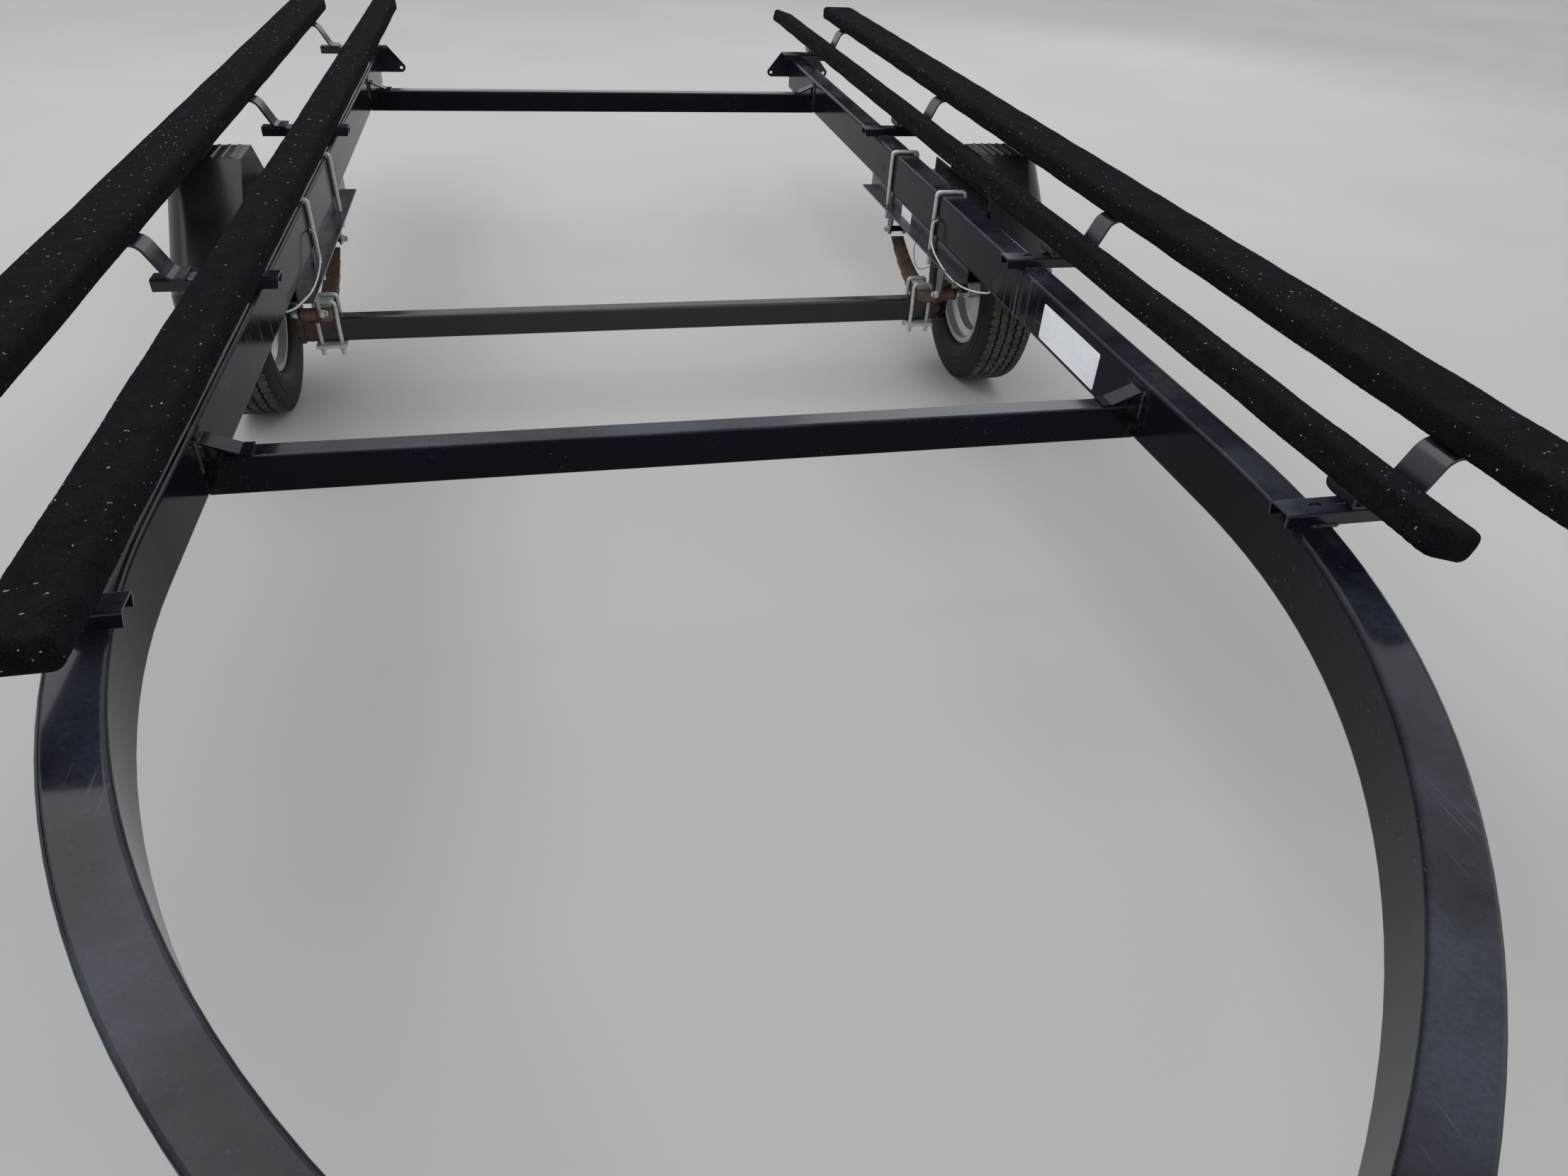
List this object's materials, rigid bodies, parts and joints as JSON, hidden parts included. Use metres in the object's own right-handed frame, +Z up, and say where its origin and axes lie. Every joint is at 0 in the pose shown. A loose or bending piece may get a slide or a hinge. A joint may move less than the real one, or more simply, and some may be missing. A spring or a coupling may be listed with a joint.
{
  "type": "boat trailer",
  "caption": "Boat trailer with bent tube side rails, carpeted bunks, sprung axle with fenders, winch stand and swing-up jack.",
  "frame": {"origin": "on the ground under the middle of the whole trailer", "axes": "+Z up, +Y towards the rear ends of the bunks, -Y towards the coupler, +X to the right when looking to the rear, mirror plane at X = 0 for all but the jack, the crank and the places of the bunks"},
  "size_m": [2.5729, 7.343, 1.1255],
  "materials": {
    "rail_paint": "glossy",
    "galvanised": "satin",
    "rusty_steel": "rough",
    "wheel_steel": "satin",
    "tyre": "matte",
    "carpet": "rough",
    "fender_plastic": "satin",
    "wire_white": "satin",
    "lamp_red": "glossy",
    "rubber": "matte",
    "jack_plastic": "matte",
    "bracket_paint": "satin"
  },
  "bodies": {
    "frame": {"rail_right": "rail_paint", "rail_left": "rail_paint", "crossmember_front": "rail_paint", "crossmember_rear": "rail_paint", "tongue": "rail_paint", "tongue_cross": "rail_paint", "axle_beam": "rusty_steel", "spring_right": "rusty_steel", "spring_left": "rusty_steel", "tie_plates": "galvanised", "spring_ubolts": "galvanised", "frame_ubolts": "galvanised", "hanger_right": "bracket_paint", "hanger_left": "bracket_paint", "bunk_channels": "bracket_paint", "rear_brackets": "bracket_paint", "bunk_uprights": "bracket_paint", "bunk_straps": "bracket_paint", "fender_brackets": "bracket_paint", "fender_right": "fender_plastic", "fender_left": "fender_plastic", "bunk_inner_right": "carpet", "bunk_inner_left": "carpet", "bunk_outer_right": "carpet", "bunk_outer_left": "carpet", "tail_lamps": "lamp_red", "coupler": "rail_paint", "jack_bracket": "galvanised", "winch_post": "rail_paint", "bow_stop": "rubber", "winch_frame": "galvanised", "wires": "wire_white", "grommets": "rubber"},
    "wheel_right": {"tyre_right": "tyre", "rim_right": "wheel_steel", "hub_right": "galvanised"},
    "wheel_left": {"tyre_left": "tyre", "rim_left": "wheel_steel", "hub_left": "galvanised"},
    "jack": {"jack_body": "galvanised"},
    "jack_leg": {"jack_leg": "galvanised"},
    "jack_caster": {"jack_fork": "galvanised"},
    "jack_wheel": {"jack_wheel": "jack_plastic"},
    "winch_drum": {"winch_drum": "galvanised"},
    "winch_crank": {"winch_crank": "galvanised"}
  },
  "joints": [
    {"name": "wheel_right_spin", "type": "hinge", "parent": "frame", "child": "wheel_right", "pos_m": [1.165, 1.0395, 0.3065], "axis": [1, 0, 0], "continuous": true},
    {"name": "wheel_left_spin", "type": "hinge", "parent": "frame", "child": "wheel_left", "pos_m": [-1.165, 1.0395, 0.3065], "axis": [1, 0, 0], "continuous": true},
    {"name": "jack_swing", "type": "hinge", "parent": "frame", "child": "jack", "pos_m": [0.142, -3.1105, 0.4887], "axis": [1, 0, 0], "range_deg": [0, 90]},
    {"name": "jack_slide", "type": "slide", "parent": "jack", "child": "jack_leg", "axis": [0, 0, -1], "range_m": [-0.25, 0.09]},
    {"name": "jack_swivel", "type": "hinge", "parent": "jack_leg", "child": "jack_caster", "pos_m": [0.142, -3.1105, 0.161], "axis": [0, 0, 1], "continuous": true},
    {"name": "jack_wheel_spin", "type": "hinge", "parent": "jack_caster", "child": "jack_wheel", "pos_m": [0.142, -3.0905, 0.075], "axis": [1, 0, 0], "continuous": true},
    {"name": "drum_spin", "type": "hinge", "parent": "frame", "child": "winch_drum", "pos_m": [0, -2.64525, 1.0295], "axis": [1, 0, 0], "continuous": true},
    {"name": "crank_spin", "type": "hinge", "parent": "frame", "child": "winch_crank", "pos_m": [0, -2.64525, 1.0895], "axis": [1, 0, 0], "continuous": true}
  ],
  "couplings": [
    {"joint": "crank_spin", "follows": "drum_spin", "ratio": -4}
  ]
}
